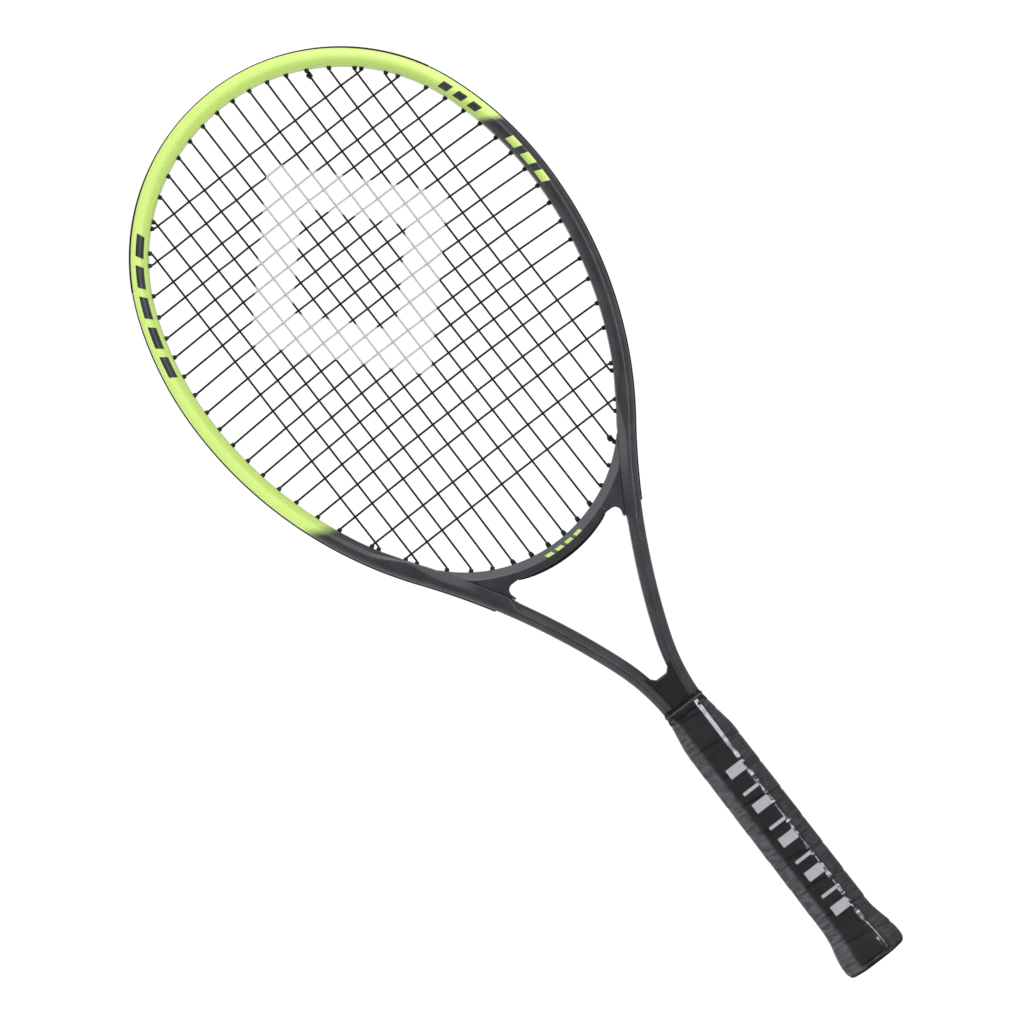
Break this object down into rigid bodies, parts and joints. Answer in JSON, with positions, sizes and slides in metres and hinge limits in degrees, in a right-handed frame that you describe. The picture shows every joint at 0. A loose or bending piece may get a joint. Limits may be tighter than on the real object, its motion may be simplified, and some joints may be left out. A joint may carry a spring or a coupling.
{
  "type": "tennis racket",
  "caption": "Strung tennis racket with a lime and charcoal hollow frame, open V throat, wrapped eight-sided grip and a flared butt cap with a snap-out door.",
  "frame": {"origin": "centre of the butt's end face", "axes": "+Z from the butt to the tip of the head, strings in the XZ plane, front face towards -Y"},
  "size_m": [0.2766, 0.0398, 0.6858],
  "materials": {
    "frame_paint": "satin paint over graphite composite",
    "bridge_paint": "satin paint over graphite composite",
    "neck_black": "matte paint",
    "foam": "moulded hard foam",
    "cap_plastic": "moulded",
    "door_plastic": "moulded",
    "steel": "plain",
    "wrap": "perforated synthetic",
    "tape": "glossy tape",
    "collar_rubber": "smooth",
    "film": "clear sheet",
    "strip_plastic": "moulded nylon",
    "string": "polyester monofilament"
  },
  "bodies": {
    "racket": {"frame_tube": "frame_paint", "throat_bridge": "bridge_paint", "neck_filler": "neck_black", "pallet_front": "foam", "pallet_back": "foam", "butt_cap": "cap_plastic", "butt_staple_front": "steel", "butt_staple_back": "steel", "grip_wrap": "wrap", "grip_tack": "steel", "finishing_tape": "tape", "grip_film": "film", "bumper_guard": "strip_plastic", "grommet_strip_left": "strip_plastic", "grommet_strip_right": "strip_plastic", "grommet_strip_throat": "strip_plastic", "main_strings": "string", "cross_strings": "string", "knot_head": "string", "knot_throat": "string"},
    "door": {"butt_door": "door_plastic"},
    "collar": {"grip_collar": "collar_rubber"}
  },
  "joints": [
    {"name": "door_pull", "type": "slide", "parent": "racket", "child": "door", "axis": [0, 0, -1], "range_m": [0, 0.012]},
    {"name": "collar_slide", "type": "slide", "parent": "racket", "child": "collar", "axis": [0, 0, 1], "range_m": [0, 0.004]}
  ]
}
